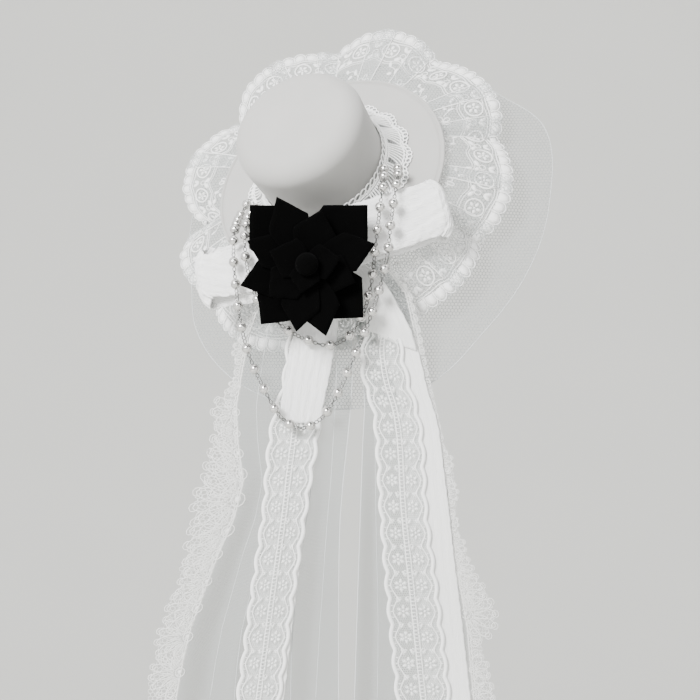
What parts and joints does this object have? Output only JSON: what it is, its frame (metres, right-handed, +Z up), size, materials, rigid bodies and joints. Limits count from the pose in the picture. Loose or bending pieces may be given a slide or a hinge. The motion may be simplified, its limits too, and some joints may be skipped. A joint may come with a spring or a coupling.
{
  "type": "mini hat",
  "caption": "Mini top hat worn tilted on the head, with a crochet band, lace ruffle, net disc, velvet rose, ribbon and lace tails, veil panels and pearl swags.",
  "frame": {"origin": "centre of the brim's underside, where the hat sits on the head", "axes": "+Z up as the hat is worn, -Y towards the viewer of the rose; the crown leans along (-0.380, -0.766, 0.519)"},
  "size_m": [0.238, 0.1768, 0.4049],
  "materials": {
    "felt": "white flocked felt, matt",
    "crochet_lace": "white crocheted cotton thread, matt",
    "ruffle_lace": "white embroidered net lace, matt",
    "net": "white nylon net, see-through",
    "velvet": "black velvet, matt with a faint sheen",
    "satin_ribbon": "white crinkled satin ribbon, soft sheen",
    "ribbon_lace": "white raschel lace with flowers, matt",
    "edge_lace": "white chemical lace of daisies and fans, matt",
    "pearl": "silver-grey pearl lacquer, glossy",
    "steel": "plain steel, satin"
  },
  "bodies": {
    "root": {"felt_crown": "felt", "felt_brim": "felt", "crown_lace_band": "crochet_lace", "lace_ruffle": "ruffle_lace", "net_disc": "net", "hair_clip": "steel", "rose_pad": "felt", "satin_tail_left": "satin_ribbon", "satin_tail_right": "satin_ribbon", "lace_tail_left": "ribbon_lace", "lace_tail_right": "ribbon_lace", "short_tail_left": "satin_ribbon", "short_tail_right": "satin_ribbon", "veil_left": "net", "veil_right": "net", "veil_lace_left": "edge_lace", "veil_lace_right": "edge_lace", "rose_core": "velvet", "rose_petal_01": "velvet", "rose_petal_02": "velvet", "rose_petal_03": "velvet", "rose_petal_04": "velvet", "rose_petal_05": "velvet", "rose_petal_06": "velvet", "rose_petal_07": "velvet", "rose_petal_08": "velvet", "rose_petal_09": "velvet", "rose_petal_10": "velvet", "rose_petal_11": "velvet", "rose_petal_12": "velvet", "rose_petal_13": "velvet", "rose_petal_14": "velvet", "rose_petal_15": "velvet", "rose_petal_16": "velvet", "rose_heart": "velvet", "bow_loop_right": "satin_ribbon", "bow_loop_left": "satin_ribbon", "pearl_strand_long": "pearl", "pearl_strand_short": "pearl"}
  },
  "joints": []
}
